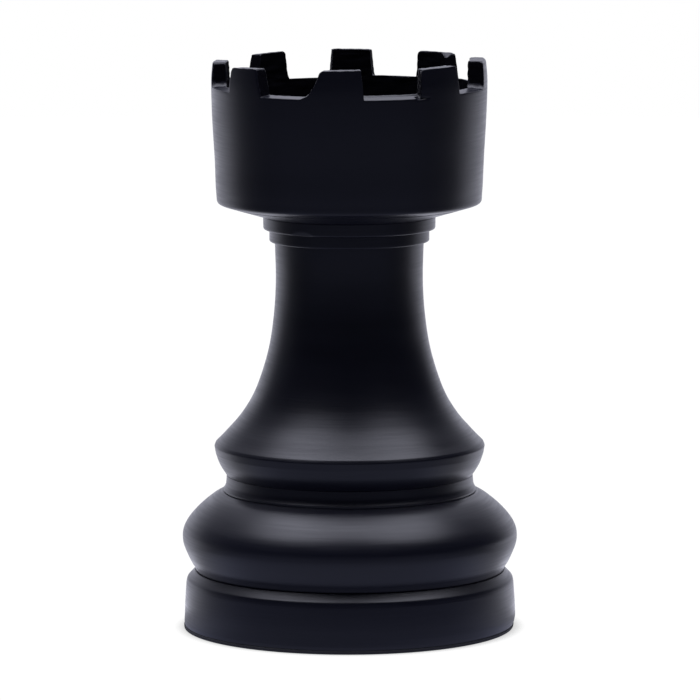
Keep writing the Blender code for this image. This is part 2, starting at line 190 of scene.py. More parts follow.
def refine(points, longest):
    """The closed outline with its long runs split, and a point close to each of their ends."""
    outline = []
    for a, b in zip(points, points[1:] + points[:1]):
        length = math.dist(a, b)
        pieces = max(1, math.ceil(length / longest))
        stops = [step / pieces for step in range(pieces)]
        if length > 5 * END_INSET:
            stops = sorted({0.0, END_INSET / length, 1 - END_INSET / length, *stops[1:]})
        for t in stops:
            outline.append((a[0] + (b[0] - a[0]) * t, a[1] + (b[1] - a[1]) * t))
    return outline


# ---- the unevenness of hand work -----------------------------------------------
def waves(seed, turns, heights, count=9):
    """A sum of sine waves round the axis and along it, mostly between -1 and 1."""
    dice = np.random.RandomState(seed)
    around = dice.randint(turns[0], turns[1] + 1, count) * dice.choice((-1, 1), count)
    along = dice.uniform(heights[0], heights[1], count) * 2 * math.pi
    phase = dice.uniform(0, 2 * math.pi, count)
    weight = dice.uniform(0.4, 1.0, count)
    weight = weight / weight.sum()

    def value(azimuth, height):
        angle = np.multiply.outer(azimuth, around) + np.multiply.outer(height, along)
        return (np.sin(angle + phase) * weight).sum(-1) * 2

    return value


def bell(x, centre, width):
    """1 at the centre and 0 from width away on."""
    t = np.clip(1 - np.abs(x - centre) / width, 0, 1)
    return t * t * (3 - 2 * t)


def turn_gap(azimuth, centre):
    """Degrees from centre to azimuth, the short way round."""
    return (azimuth - centre + 180) % 360 - 180


def mesh_points(mesh):
    points = np.zeros(len(mesh.vertices) * 3)
    mesh.vertices.foreach_get("co", points)
    return points.reshape(-1, 3)


def set_mesh_points(mesh, points):
    mesh.vertices.foreach_set("co", points.ravel())
    mesh.update()


def cylindrical(points):
    """Azimuth in radians, radius and height."""
    azimuth = np.arctan2(points[:, 0], -points[:, 1])
    return azimuth, np.hypot(points[:, 0], points[:, 1]), points[:, 2]


def from_cylindrical(azimuth, radius, height):
    return np.stack([radius * np.sin(azimuth), -radius * np.cos(azimuth), height], -1)


WOBBLE_TURNS = (2, 7)        # waves round the piece
WOBBLE_HEIGHTS = (2, 14)     # waves per metre of height


def wobble(piece, amount, seed):
    """Moves the surface in and out by up to about amount."""
    azimuth, radius, height = cylindrical(mesh_points(piece.data))
    push = amount * waves(seed, WOBBLE_TURNS, WOBBLE_HEIGHTS)(azimuth, height)
    set_mesh_points(piece.data, from_cylindrical(azimuth, radius + push, height))


def dent(piece, azimuth_at, height_at, wide, tall, deep):
    """A shallow dent or chip: degrees and metres, pushed towards the axis."""
    azimuth, radius, height = cylindrical(mesh_points(piece.data))
    aside = turn_gap(np.degrees(azimuth), azimuth_at)
    push = deep * bell(aside, 0, wide) * bell(height, height_at, tall)
    set_mesh_points(piece.data, from_cylindrical(azimuth, radius - push, height))


# ---- pieces --------------------------------------------------------------------
def link(name, mesh):
    piece = bpy.data.objects.new(name, mesh)
    bpy.context.scene.collection.objects.link(piece)
    return piece


def turned(name, outline, steps=TURN_STEPS, longest=LONGEST_RUN):
    """A ring turned about the axis. The closed outline runs down the outer side."""
    outline = refine(outline, longest)
    count = len(outline)
    angle = np.arange(steps) * 2 * math.pi / steps
    radius, height = np.array(outline).T
    azimuth = np.repeat(angle, count)
    points = from_cylindrical(azimuth, np.tile(radius, steps), np.tile(height, steps))
    faces = []
    for i in range(steps):
        here = i * count
        there = (i + 1) % steps * count
        for k in range(count):
            below = (k + 1) % count
            faces.append((here + k, here + below, there + below, there + k))
    mesh = bpy.data.meshes.new(name)
    mesh.from_pydata(points.tolist(), [], faces)
    mesh.shade_smooth()
    mesh.set_sharp_from_angle(angle=math.radians(SHARP_ANGLE))
    return link(name, mesh)


def fit(piece, nodes, slot, *materials):
    """Puts the materials on the piece, and the piece in place of its CAD nodes."""
    for material in materials:
        piece.data.materials.append(material)
    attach(piece, ROOK)
    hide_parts(*nodes)
    return piece


# ---- the turned sections -------------------------------------------------------
# dents, as azimuth, height of the middle, half width in degrees, half height and depth
WORN_FOOT = (78.0, 0.0, 72.0, 0.0105, 0.0021)
COLLAR_NICK = (61.0, low("lower_collar"), 1.2, 0.0012, 0.0005)
COLLAR_CHIP = (-29.4, 0.0037, 0.0014)            # azimuth, height and depth of the facet


def make_base_pad(material):
    top, outer = high("base_pad"), reach("base_pad")
    outline = round_corners([
        (PAD_BORE, top), (outer, top, 0.0004), (outer, 0.0, 0.0011), (PAD_BORE, 0.0, 0.0003)])
    pad = turned("rubber_pad", outline)
    dent(pad, *WORN_FOOT)
    fit(pad, ["base_pad"], "pad_rubber", material)


def make_base_drum(material):
    foot = low("base_drum")
    shoulder = high("base_drum")
    outer = reach("base_drum")
    inside = outer - WALL
    bore = CHAMBER_OUTSIDE + GAP
    outline = [(bore, shoulder), (0.1142, shoulder)]
    outline += smooth_outline([
        (0.1188, 0.0383), (0.1197, 0.0372), (0.1202, 0.0357), (0.1205, 0.0340), (0.1207, 0.0320),
        (0.1215, 0.0200), (0.1219, 0.0110), (outer, 0.0048)], 5)
    outline += [(outer - 0.0003, foot), (inside, foot)]
    outline += [(inside - 0.0022, shoulder - WALL), (bore, shoulder - WALL)]
    drum = turned("drum_shell", outline)
    wobble(drum, 0.00010, 11)
    dent(drum, *WORN_FOOT)
    fit(drum, ["base_drum"], "black_paint", material)


def make_base_bulge(material):
    foot = low("base_bulge")
    top = low("waist_ring") - GAP
    bore = CHAMBER_OUTSIDE + GAP
    outline = [(WAIST_SPIGOT - WALL, high("base_bulge")), (WAIST_SPIGOT, high("base_bulge"))]
    outline += [(WAIST_SPIGOT, top)]
    outline += smooth_outline([
        (0.0937, top), (0.1011, 0.0975), (0.1106, 0.0898), (0.1182, 0.0815), (0.1221, 0.0745),
        (reach("base_bulge"), 0.0685), (0.1222, 0.0620), (0.1180, 0.0520), (0.1147, 0.0464),
        (0.1133, foot)])
    outline += [(bore, foot), (bore, foot + WALL), (0.1072, foot + WALL)]
    outline += smooth_outline([
        (0.1072, foot + WALL), (0.1165, 0.0630), (0.1172, 0.0690), (0.1160, 0.0740),
        (0.1118, 0.0805), (0.1030, 0.0885), (0.0900, top - WALL)], 2)[1:]
    outline += [(WAIST_SPIGOT - WALL, top - WALL)]
    bulge = turned("bulge_shell", outline)
    wobble(bulge, 0.00012, 12)
    fit(bulge, ["base_bulge"], "black_paint", material)


def make_waist_ring(material):
    foot = low("waist_ring") - SEAT_OVERLAP
    top = high("waist_ring")
    lip = reach("waist_ring")
    outline = [(WAIST_SPIGOT + GAP, top)]
    outline += smooth_outline([
        (WAIST_RADIUS, top), (0.0907, 0.1110), (0.0909, 0.1085), (0.0912, 0.1066),
        (0.0918, 0.1050), (0.0924, 0.1039)], 4)
    outline += round_corners([
        (0.0925, 0.1038), (lip, 0.1033, 0.0003), (lip, foot, 0.0004), (0.0800, foot)])[1:]
    outline += [(WAIST_SPIGOT + GAP, foot)]
    ring = turned("waist_band", outline)
    wobble(ring, 0.00008, 13)
    fit(ring, ["waist_ring"], "black_paint", material)


def make_stem_bell(material):
    foot = high("waist_ring") + GAP
    top = low("lower_collar") - GAP
    edge = reach("stem_bell")
    edge_radius = 0.0015
    spigot_in = WAIST_SPIGOT - WALL
    outline = [(COLLAR_SPIGOT - WALL, high("stem_bell")), (COLLAR_SPIGOT, high("stem_bell"))]
    outline += [(COLLAR_SPIGOT, top)]
    outline += smooth_outline([
        (0.0546, top), (0.0539, 0.2580), (0.0556, 0.2312), (0.0599, 0.2043), (0.0687, 0.1772),
        (0.0791, 0.1590), (0.0911, 0.1450), (0.0985, 0.1374)], 10)
    outline += fillet((edge - edge_radius, 0.1350), edge_radius, 35, -10, 4)
    outline += smooth_outline([
        (0.0985, 0.1300), (0.0963, 0.1236), (0.0936, 0.1186), (WAIST_RADIUS, foot)], 5)
    outline += [(WAIST_SPIGOT, foot), (WAIST_SPIGOT, foot - WALL), (spigot_in, foot - WALL)]
    outline += [(spigot_in, foot + WALL), (0.0860, foot + WALL)]
    outline += smooth_outline([
        (0.0860, foot + WALL), (0.0925, 0.1300), (0.0925, 0.1345), (0.0842, 0.1440),
        (0.0728, 0.1580), (0.0628, 0.1760), (0.0540, 0.2040), (0.0497, 0.2310),
        (0.0479, 0.2580), (0.0479, top - WALL)], 3)[1:]
    outline += [(COLLAR_SPIGOT - WALL, top - WALL)]
    stem = turned("stem_shell", outline)
    wobble(stem, 0.00012, 14)
    fit(stem, ["stem_bell"], "black_paint", material)


def knock_off(piece, azimuth_at, tall, deep):
    """A flat facet struck off the lower edge of a ring."""
    azimuth, radius, height = cylindrical(mesh_points(piece.data))
    gap = np.radians(turn_gap(np.degrees(azimuth), azimuth_at))
    rise = (height - height.min()) / tall
    plane = (radius.max() - deep * (1 - rise)) / np.cos(np.clip(gap, -1, 1))
    set_mesh_points(piece.data, from_cylindrical(azimuth, np.minimum(radius, plane), height))


def make_collar(node, seed, taper, edge, material):
    foot, top, radius = low(node), high(node), reach(node)
    bore = COLLAR_SPIGOT + GAP
    outline = round_corners([
        (bore, top), (radius, top, 0.0002), (radius - taper, foot, edge), (bore, foot)])
    collar = turned(node + "_ring", outline, steps=COLLAR_STEPS, longest=0.0007)
    wobble(collar, 0.00008, seed)
    fit(collar, [node], "black_paint", material)
    return collar


def make_crown_dish(material):
    seat = high("upper_collar") + GAP
    rim = reach("crown_dish")
    spigot_in = COLLAR_SPIGOT - WALL
    outline = [(ROD_BORE, seat + WALL), (0.0600, seat + WALL), (0.0800, seat + 0.0120)]
    outline += [(rim - 0.0020, high("crown_dish")), (rim, high("crown_dish")), (rim, 0.3112)]
    outline += [(0.0634, seat - SEAT_OVERLAP), (COLLAR_SPIGOT, seat - SEAT_OVERLAP)]
    outline += [(COLLAR_SPIGOT, low("crown_dish"))]
    outline += [(spigot_in, low("crown_dish")), (spigot_in, seat), (ROD_BORE, seat)]
    fit(turned("crown_cone", outline), ["crown_dish"], "black_paint", material)


def make_crown_floor(material):
    foot, top = low("crown_floor"), high("crown_floor")
    radius = reach("crown_floor")
    middle = 0.0004      # a pinhole instead of a point
    outline = round_corners([
        (middle, top), (radius, top, 0.0010), (radius, foot, 0.0003), (middle, foot)])
    floor = turned("cup_floor", outline)
    fit(floor, ["crown_floor"], "cup_black", material)


# ---- the crown's wall ----------------------------------------------------------
UNROLL = 0.095         # radius at which azimuth and length agree
CAGE_THICK = 0.0105
EDGE = 0.0008          # distance of a support line from its edge; the rounding is about half
LINE_GAP = 0.0052      # between the cage's lines
SEAM = -26.0           # azimuth where the unrolled wall begins, in the middle of a crenel
SUPPORT = math.degrees(EDGE / UNROLL)
FOOT_RISE = 0.0032     # how much higher the foot of the wall is outside than inside
LAYERS = 4             # of cells through the wall
SUBDIVISIONS = 2
FOOT_DEPTHS = (0.0, 0.0040, 0.0065, 0.0092, CAGE_THICK)
UPPER_DEPTHS = (0.0, EDGE, CAGE_THICK * 0.5, CAGE_THICK - EDGE, CAGE_THICK)
FOOT_LEVELS = (0.0, 0.0045, 0.0085)          # above the foot's outer edge
WALL_LEVELS = (0.3310, 0.3940, 0.0120)       # first, end and step
FLOOR_DROPS = (2 * EDGE, 0.0)                # of the last rings, below the crenels' floors
MERLON_SHARES = (0.17, 0.33, 0.66)           # of a merlon's height, between its support lines


def crown_lines():
    """The cage's upright lines, in order round the crown.

    Each is (how it runs, floor heights, top height, stands). How it runs is (merlon, place
    across it, degrees aside) on a merlon and an azimuth between merlons; the floor heights
    are at the cup and outside; stands says whether the cell after it belongs to a merlon.
    """
    lines = []
    floors_before = MERLONS[-1].floors
    start = SEAM
    for index, merlon in enumerate(MERLONS):
        root_left, root_right = merlon.left[0][1], merlon.right[0][1]
        lines += crenel_lines(start, root_left - SUPPORT, floors_before)
        for place, aside in merlon_stops(root_left, root_right):
            peak = merlon.heights[0] + (merlon.heights[1] - merlon.heights[0]) * place
            floors = [a + (b - a) * place for a, b in zip(floors_before, merlon.floors)]
            last = place == 1 and aside == 0
            lines.append(((index, place, aside), floors, peak, not last))
        start = root_right + SUPPORT
        floors_before = merlon.floors
    return lines + crenel_lines(start, SEAM + 360, floors_before)


def spread(start, end):
    """Azimuths from start to end, both included, about a line gap apart."""
    count = max(1, round(math.radians(end - start) * UNROLL / LINE_GAP))
    return [start + (end - start) * step / count for step in range(count + 1)]


def merlon_stops(left, right):
    """(place across the merlon, degrees aside) of its lines, with a support line at each side."""
    inner = [(stop - left) / (right - left) for stop in spread(left, right)[1:-1]]
    return [(0, 0), (0, SUPPORT), *((place, 0) for place in inner), (1, -SUPPORT), (1, 0)]


def crenel_lines(start, end, floors):
    return [(stop, floors, None, False) for stop in spread(start, end)]


def crown_levels():
    """Heights of the cage's rings below the crenels, from the foot up."""
    corner = low("crown") + FOOT_RISE
    return [*(corner + rise for rise in FOOT_LEVELS), *np.arange(*WALL_LEVELS).tolist()]


def side_azimuth(index, place, aside, share):
    """Azimuth of a merlon's line at a share of its height."""
    sides = (MERLONS[index].left, MERLONS[index].right)
    ends = [float(np.interp(share, *zip(*side))) for side in sides]
    return ends[0] + (ends[1] - ends[0]) * place + aside


def cage_rows(line):
    """(azimuth, height at cup, height at outer face) up one line: the wall, then the merlon."""
    run, floors, peak, _ = line
    root = run if peak is None else side_azimuth(*run, 0)
    rows = [(root, z, z) for z in crown_levels()]
    for drop in FLOOR_DROPS:
        rows.append((root, floors[0] - drop, floors[1] - drop))
    if peak is None:
        return rows
    rise = peak - floors[0]
    for share in (EDGE / rise, *MERLON_SHARES, 1 - EDGE / rise, 1.0):
        height = floors[0] + rise * share
        fall = (floors[0] - floors[1]) * (1 - share) + TOP_FALL.get(run[0], 0.0) * share
        rows.append((side_azimuth(*run, share), height, height - fall))
    return rows


def cage_depths(level):
    """How far behind the outer face the cage's layers lie at a level."""
    return FOOT_DEPTHS if level < 2 else UPPER_DEPTHS


def skew(line, share):
    """Degrees by which a line is further round at this share of the wall's thickness."""
    if line[2] is None:
        return 0.0
    index, place, _ = line[0]
    return SKEW.get(index, 0.0) * (1 - place) * share


def crown_cage():
    """The wall unrolled: x is azimuth times radius, y is depth behind the outer face."""
    lines = crown_lines()
    wall_levels = len(crown_levels()) + 1     # cells below the crenels' floors
    points = {}
    for i, line in enumerate(lines):
        for j, (azimuth, inner, outer) in enumerate(cage_rows(line)):
            for k, depth in enumerate(cage_depths(j)):
                share = depth / CAGE_THICK
                height = outer + (inner - outer) * share
                if j == 0:
                    height -= FOOT_RISE * share
                turn = azimuth + (skew(line, share) if j >= wall_levels else 0.0)
                points[i, j, k] = (math.radians(turn) * UNROLL, depth, height)
    top_level = max(j for _, j, _ in points)

    def filled(i, j, k):
        if not (0 <= i < len(lines) - 1 and 0 <= j < top_level and 0 <= k < LAYERS):
            return False
        return j < wall_levels or lines[i][3]

    faces = cell_skin(len(lines) - 1, top_level, LAYERS, filled)
    used = sorted({corner for face in faces for corner in face})
    number = {corner: index for index, corner in enumerate(used)}
    mesh = bpy.data.meshes.new("crown_cage")
    mesh.from_pydata([points[corner] for corner in used], [],
                     [[number[corner] for corner in face] for face in faces])
    return mesh


# for each side of a cell: the direction to its neighbour, and its corners
CELL_SIDES = (
    ((1, 0, 0), ((1, 0, 0), (1, 1, 0), (1, 1, 1), (1, 0, 1))),
    ((-1, 0, 0), ((0, 0, 0), (0, 0, 1), (0, 1, 1), (0, 1, 0))),
    ((0, 1, 0), ((0, 1, 0), (0, 1, 1), (1, 1, 1), (1, 1, 0))),
    ((0, -1, 0), ((0, 0, 0), (1, 0, 0), (1, 0, 1), (0, 0, 1))),
    ((0, 0, 1), ((0, 0, 1), (1, 0, 1), (1, 1, 1), (0, 1, 1))),
    ((0, 0, -1), ((0, 0, 0), (0, 1, 0), (1, 1, 0), (1, 0, 0))),
)


def cell_skin(columns, rows, layers, filled):
    """The outer faces of a block of cells, left open at its two ends."""
    faces = []
    for i in range(columns):
        for j in range(rows):
            for k in range(layers):
                if not filled(i, j, k):
                    continue
                for (di, dj, dk), corners in CELL_SIDES:
                    at_end = i + di in (-1, columns)
                    if not at_end and not filled(i + di, j + dj, k + dk):
                        faces.append([(i + a, j + b, k + c) for a, b, c in corners])
    return faces


def subdivided(mesh):
    """A new mesh: the cage smoothed by Subdivision Surface."""
    item = link("cage", mesh)
    smooth = item.modifiers.new("smooth", "SUBSURF")
    smooth.levels = SUBDIVISIONS
    smooth.render_levels = SUBDIVISIONS
    smooth.boundary_smooth = "PRESERVE_CORNERS"
    graph = bpy.context.evaluated_depsgraph_get()
    result = bpy.data.meshes.new_from_object(item.evaluated_get(graph))
    bpy.data.objects.remove(item)
    return result


def outer_wall():
    """The wall's outer outline, from the foot up, as (heights, radii)."""
    edge = 0.0971
    outline = smooth_outline([
        (edge, low("crown")), (edge, 0.3190), (0.0977, 0.3280), (0.0985, 0.3480),
        (0.1002, 0.3760), (CROWN_RADIUS, 0.4010), (0.1005, 0.4120), (0.0996, 0.4200)])
    radii, heights = np.array(outline).T
    return heights, radii


def rounded(aside, below, radius):
    """Moves points near a square corner to a round one; both distances are from the corner."""
    a = np.clip(1 - aside / radius, 0, 1)
    b = np.clip(1 - below / radius, 0, 1)
    keep = np.maximum(a, b) / np.maximum(np.hypot(a, b), 1e-9)
    keep = np.where((a > 0) & (b > 0), keep, 1.0)
    return aside + a * (1 - keep) * radius, below + b * (1 - keep) * radius


BESIDE = 0.008         # how far beside a merlon's top its rounding looks for points
POST_FOOT = 0.40       # heights above which upright edges and tops are rounded
TOP_FOOT = 0.41


def round_tops(along, depth, height):
    """Rounds the merlons' upright edges, top corners and top edges, in the unrolled wall."""
    for index, merlon in enumerate(MERLONS):
        ends = [math.radians(side[-1][1]) * UNROLL for side in (merlon.left, merlon.right)]
        here = (along > ends[0] - BESIDE) & (along < ends[1] + BESIDE)
        posts = POSTS.get(index, (0.0, 0.0))
        along, depth = round_posts(along, depth, height, index, here & (height > POST_FOOT), posts)
        here = here & (height > TOP_FOOT)
        place = np.clip((along - ends[0]) / (ends[1] - ends[0]), 0, 1)
        peak = merlon.heights[0] + (merlon.heights[1] - merlon.heights[0]) * place
        for side, radius in enumerate(merlon.corners):
            sign = 1 - 2 * side
            edge = side_along(index, side, height)
            aside, below = rounded((along - edge) * sign, peak - height, radius)
            along = np.where(here, edge + aside * sign, along)
            height = np.where(here, peak - below, height)
        for inner, radius in enumerate(merlon.crests):
            if radius == 0:
                continue
            behind, below = rounded(from_face(depth, inner), peak - height, radius)
            depth = np.where(here, from_face(behind, inner), depth)
            height = np.where(here, peak - below, height)
    return along, depth, height


def from_face(depth, inner):
    """Depth counted from the outer face, or from the cup's face; it works both ways."""
    return CAGE_THICK - depth if inner else depth


def side_along(index, side, height):
    """Where a merlon's side runs at each height, in the unrolled wall."""
    merlon = MERLONS[index]
    run = (merlon.left, merlon.right)[side]
    share = (height - merlon.floors[0]) / (merlon.heights[side] - merlon.floors[0])
    return np.radians(np.interp(share, *zip(*run))) * UNROLL


def round_posts(along, depth, height, index, here, radii):
    """Rounds a merlon's upright edges, at the outer face and at the cup."""
    for inner, radius in enumerate(radii):
        if radius == 0:
            continue
        for side in (0, 1):
            sign = 1 - 2 * side
            edge = side_along(index, side, height)
            aside, behind = rounded((along - edge) * sign, from_face(depth, inner), radius)
            along = np.where(here, edge + aside * sign, along)
            depth = np.where(here, from_face(behind, inner), depth)
    return along, depth


# the ledge in the cup: where it starts, is fully out and ends, and how far it stands out
LEDGE_FOOT = 0.380
LEDGE_FULL = 0.395
LEDGE_TOP = 0.3955
LEDGE_DEEP = 0.0012


def thicken(azimuth, share, height):
    """How far the wall stands further into the cup, at this share of its thickness.

    Some merlons are thicker, and a low ledge is left in the cup below a back merlon.
    """
    extra = np.zeros_like(height)
    for index, (at_root, at_top) in THICKER.items():
        left, right = MERLONS[index].left[0][1], MERLONS[index].right[0][1]
        here = (azimuth > left - 0.6) & (azimuth < right + 0.6)
        swell = np.interp(height, (0.396, 0.402, 0.420), (0.0, at_root, at_top))
        extra = extra + swell * here * share
    ledge = bell(azimuth, 220.5, 7.5) * np.clip((LEDGE_TOP - height) / 0.0006, 0, 1)
    ledge = ledge * np.clip((height - LEDGE_FOOT) / (LEDGE_FULL - LEDGE_FOOT), 0, 1)
    return extra + LEDGE_DEEP * ledge * (share > 0.9)


# depths of the saw's groove, of its overrun into the outer face, and of a worn corner
GROOVE_DEEP = 0.0012
OVERRUN_DEEP = 0.0018
WEAR_DEEP = 0.0022


def saw_marks(along, depth, height):
    """A groove the saw left in the front right crenel and past its corner, and a worn corner."""
    degrees = np.degrees(along / UNROLL)
    floor = (degrees > 9) & (degrees < 36) & (height > 0.3975) & (height < 0.4015)
    height = height - GROOVE_DEEP * floor * bell(depth, 0.0079, 0.0015)
    past = np.clip((39.0 - degrees) / 4.5, 0, 1) * (degrees > 33) * (depth < 0.004)
    depth = depth + OVERRUN_DEEP * past * np.interp(height, (0.3972, 0.3988, 0.3994), (0, 1, 0))
    worn = bell(degrees, 132.6, 2.6) * np.clip((depth - 0.004) / 0.005, 0, 1)
    height = height - WEAR_DEEP * worn * np.clip((height - 0.4150) / 0.003, 0, 1)
    return along, depth, height


# unevenness of the sawn sides, of the tops and floors, of the cup and of the whole wall
SIDE_ROUGH = 0.00018
TOP_ROUGH = 0.00014
CUP_ROUGH = 0.00035
WALL_WOBBLE = 0.00016
LEAN = 0.0002          # how far the wall stands to the right above its foot


def hand_cut(along, depth, height):
    """Unevenness of the sawn and filed battlements, in the unrolled wall."""
    azimuth = along / UNROLL
    above = np.clip((height - 0.3975) / 0.004, 0, 1)
    rough = waves(21, (18, 60), (40, 160))
    along = along + SIDE_ROUGH * above * rough(depth * 40, height * 1.5)
    height = height + TOP_ROUGH * above * waves(22, (30, 90), (1, 2))(azimuth, depth * 90)
    inside = np.clip((depth - CAGE_THICK + 0.0006) / 0.0004, 0, 1) * (height > 0.36)
    depth = depth + CUP_ROUGH * inside * waves(23, (5, 26), (60, 260), 14)(azimuth, height)
    return along, depth, height


# how squarely a sawn side faces sideways, and a face of the cup inward
SIDEWAYS = 0.93
INWARD = 0.90
SAWN_FOOT = 0.3990     # height above which a side is a sawn one
WELD = 0.00002         # points closer than this become one, where the unrolled wall's ends meet


def mark_cut_faces(mesh):
    """Second material on the merlons' sawn sides and on the inside of the cup."""
    count = len(mesh.polygons)
    normal = np.zeros(count * 3)
    centre = np.zeros(count * 3)
    mesh.polygons.foreach_get("normal", normal)
    mesh.polygons.foreach_get("center", centre)
    normal = np.abs(normal.reshape(-1, 3))
    centre = centre.reshape(-1, 3)
    sawn = (normal[:, 0] > SIDEWAYS) & (centre[:, 2] > SAWN_FOOT)
    inside = (normal[:, 1] > INWARD) & (centre[:, 1] > CAGE_THICK * 0.7)
    mesh.polygons.foreach_set("material_index", (sawn | inside).astype(np.int32))


def make_crown(material, cut_material):
    """Cuts the wall while it is unrolled, rolls it up and closes its seam."""
    wall = subdivided(crown_cage())
    points = round_tops(*mesh_points(wall).T)
    along, depth, height = hand_cut(*saw_marks(*points))
    set_mesh_points(wall, np.stack([along, depth, height], -1))
    mark_cut_faces(wall)
    azimuth = along / UNROLL
    outer = np.interp(height, *outer_wall())
    inner = np.interp(height, (0.3500, 0.3560), (LEDGE_RADIUS + GAP, CUP_RADIUS))
    inner = inner + np.interp(height, (0.41, 0.42), (0, 0.0004))
    share = depth / CAGE_THICK
    radius = outer - share * (outer - inner) - thicken(np.degrees(azimuth), share, height)
    radius = radius + WALL_WOBBLE * waves(24, (2, 6), (2, 10))(azimuth, height)
    points = from_cylindrical(azimuth, radius, height)
    points[:, 0] += np.interp(height, (0.325, 0.345), (0, LEAN))
    set_mesh_points(wall, points)
    shape = bmesh.new()
    shape.from_mesh(wall)
    bmesh.ops.remove_doubles(shape, verts=shape.verts, dist=WELD)
    bmesh.ops.recalc_face_normals(shape, faces=shape.faces)
    shape.to_mesh(wall)
    shape.free()
    wall.shade_smooth()
    wall.name = "crown_wall"
    fit(link("crown_wall", wall), ["crown"], "black_paint", material, cut_material)


# ---- materials -----------------------------------------------------------------
MIX_COLOUR_INPUTS = (0, 6, 7)      # a Mix node's sockets for the factor and two colours
MIX_COLOUR_OUTPUT = 2


class Shader:
    """Short names for building a node tree."""

    def __init__(self, tree):
        self.tree = tree

    def node(self, kind, **inputs):
        """A node; a number or colour sets a socket, another node's socket is linked to it."""
        made = self.tree.nodes.new(kind)
        for name, value in inputs.items():
            self.feed(made.inputs[name.replace("_", " ")], value)
        return made

    def feed(self, socket, value):
        if isinstance(value, bpy.types.NodeSocket):
            self.tree.links.new(value, socket)
        else:
            socket.default_value = value

    def math(self, operation, a, b=0.0):
        made = self.tree.nodes.new("ShaderNodeMath")
        made.operation = operation
        self.feed(made.inputs[0], a)
        self.feed(made.inputs[1], b)
        return made.outputs[0]

    def ramp(self, value, start, end, low_value=0.0, high_value=1.0):
        """Goes smoothly from low_value at start to high_value at end."""
        made = self.tree.nodes.new("ShaderNodeMapRange")
        made.interpolation_type = "SMOOTHSTEP"
        for name, number in (("From Min", start), ("From Max", end), ("To Min", low_value),
                             ("To Max", high_value)):
            made.inputs[name].default_value = number
        self.feed(made.inputs["Value"], value)
        return made.outputs["Result"]

    def noise(self, scale, detail=3.0, roughness=0.5, seed=0.0):
        """Noise in the object's own space; scale is a number for each axis, per metre."""
        place = self.node("ShaderNodeTexCoord").outputs["Object"]
        stretched = self.node("ShaderNodeMapping", Vector=place, Scale=scale,
                              Location=(seed, seed * 0.7, seed * 1.3))
        made = self.node("ShaderNodeTexNoise", Vector=stretched.outputs[0], Scale=1.0,
                         Detail=detail, Roughness=roughness)
        return made.outputs["Fac"]

    def mix_colour(self, factor, a, b):
        made = self.tree.nodes.new("ShaderNodeMix")
        made.data_type = "RGBA"
        for socket, value in zip(MIX_COLOUR_INPUTS, (factor, a, b)):
            self.feed(made.inputs[socket], value)
        return made.outputs[MIX_COLOUR_OUTPUT]

    def bump(self, height, strength, distance, under=None):
        made = self.node("ShaderNodeBump", Height=height, Strength=strength, Distance=distance)
        if under is not None:
            self.feed(made.inputs["Normal"], under)
        return made.outputs["Normal"]


def new_material(name):
    """A material with an empty Principled shader, and the tool that builds its tree."""
    material = bpy.data.materials.new(name)
    material.use_nodes = True
    tree = material.node_tree
    return material, Shader(tree), tree.nodes["Principled BSDF"]


def scaled(colour, factor):
    """The colour times the factor, opaque."""
    return (*[c * factor for c in colour], 1)


def satin_paint(name, colour, rough):
    """Satin black paint, brushed on while the piece turned: fine level streaks."""
    material, shader, surface = new_material(name)
    streaks = shader.noise((22, 22, 900), 4.0, 0.6)
    broad = shader.noise((9, 9, 60), 3.0, 0.5, 3.0)
    grain = shader.noise((900, 900, 900), 2.0, 0.6)
    paint = shader.mix_colour(broad, scaled(colour, 0.75), scaled(colour, 1.3))
    shader.feed(surface.inputs["Base Color"], paint)
    level = shader.ramp(streaks, 0.3, 0.7, rough - 0.035, rough + 0.035)
    level = shader.math("ADD", level, shader.ramp(broad, 0.3, 0.7, -0.02, 0.02))
    shader.feed(surface.inputs["Roughness"], level)
    normal = shader.bump(streaks, 0.22, 0.0002)
    normal = shader.bump(grain, 0.05, 0.0002, normal)
    shader.feed(surface.inputs["Normal"], normal)
    surface.inputs["IOR"].default_value = 1.5
    return material


def sawn_paint(name, colour, rough):
    """Black paint on sawn faces and in the cup: rough, with uneven level tool marks."""
    material, shader, surface = new_material(name)
    marks = shader.noise((45, 45, 700), 4.0, 0.65, 5.0)
    lumps = shader.noise((260, 260, 260), 3.0, 0.6, 2.0)
    paint = shader.mix_colour(marks, scaled(colour, 0.5), scaled(colour, 1.6))
    shader.feed(surface.inputs["Base Color"], paint)
    shader.feed(surface.inputs["Roughness"], shader.ramp(lumps, 0.3, 0.7, rough - 0.1, rough + 0.1))
    normal = shader.bump(marks, 0.5, 0.0006)
    normal = shader.bump(lumps, 0.35, 0.0005, normal)
    shader.feed(surface.inputs["Normal"], normal)
    surface.inputs["Specular IOR Level"].default_value = 0.04
    return material


def plain_material(name, colour, rough, metallic=0.0, grain_scale=700.0, grain=0.1):
    """One colour with a fine grain."""
    material, shader, surface = new_material(name)
    speckle = shader.noise((grain_scale,) * 3, 3.0, 0.6)
    mixed = shader.mix_colour(speckle, scaled(colour, 0.8), scaled(colour, 1.25))
    surface.inputs["Metallic"].default_value = metallic
    shader.feed(surface.inputs["Base Color"], mixed)
    shader.feed(surface.inputs["Roughness"],
                shader.ramp(speckle, 0.3, 0.7, rough - 0.05, rough + 0.05))
    shader.feed(surface.inputs["Normal"], shader.bump(speckle, grain, 0.0003))
    return material


